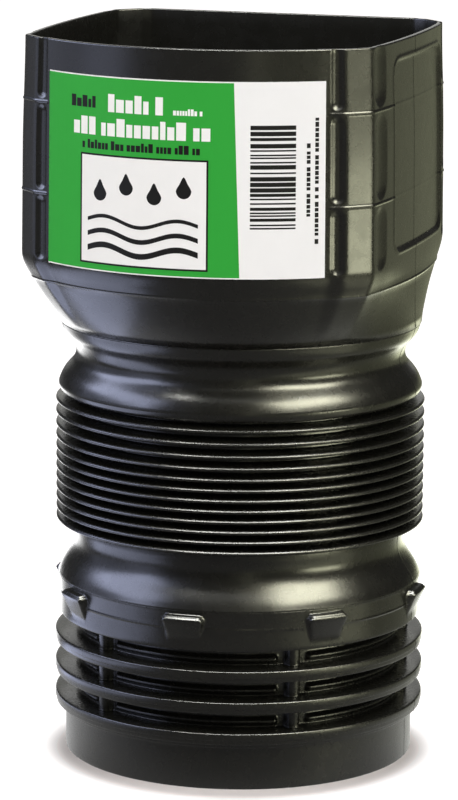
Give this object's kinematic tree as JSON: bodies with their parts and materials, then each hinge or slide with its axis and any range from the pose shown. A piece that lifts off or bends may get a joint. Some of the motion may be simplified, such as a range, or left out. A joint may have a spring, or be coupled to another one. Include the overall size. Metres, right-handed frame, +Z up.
{
  "type": "flexible downspout adapter",
  "caption": "Blow-moulded adapter with a rectangular socket for a downspout above and a ribbed round spigot for corrugated pipe below, joined by a folded bellows.",
  "frame": {"origin": "on the axis of the round spigot, in the plane of its lower edge", "axes": "+Z up along the axis towards the socket's rim, X along the long side of the socket, the label faces -Y"},
  "size_m": [0.1166, 0.1278, 0.223],
  "materials": {
    "black_plastic": "smooth moulded, glossy",
    "label_film": "printed film, slightly satin"
  },
  "bodies": {
    "root": {"adapter_body": "black_plastic", "label": "label_film"}
  },
  "joints": []
}
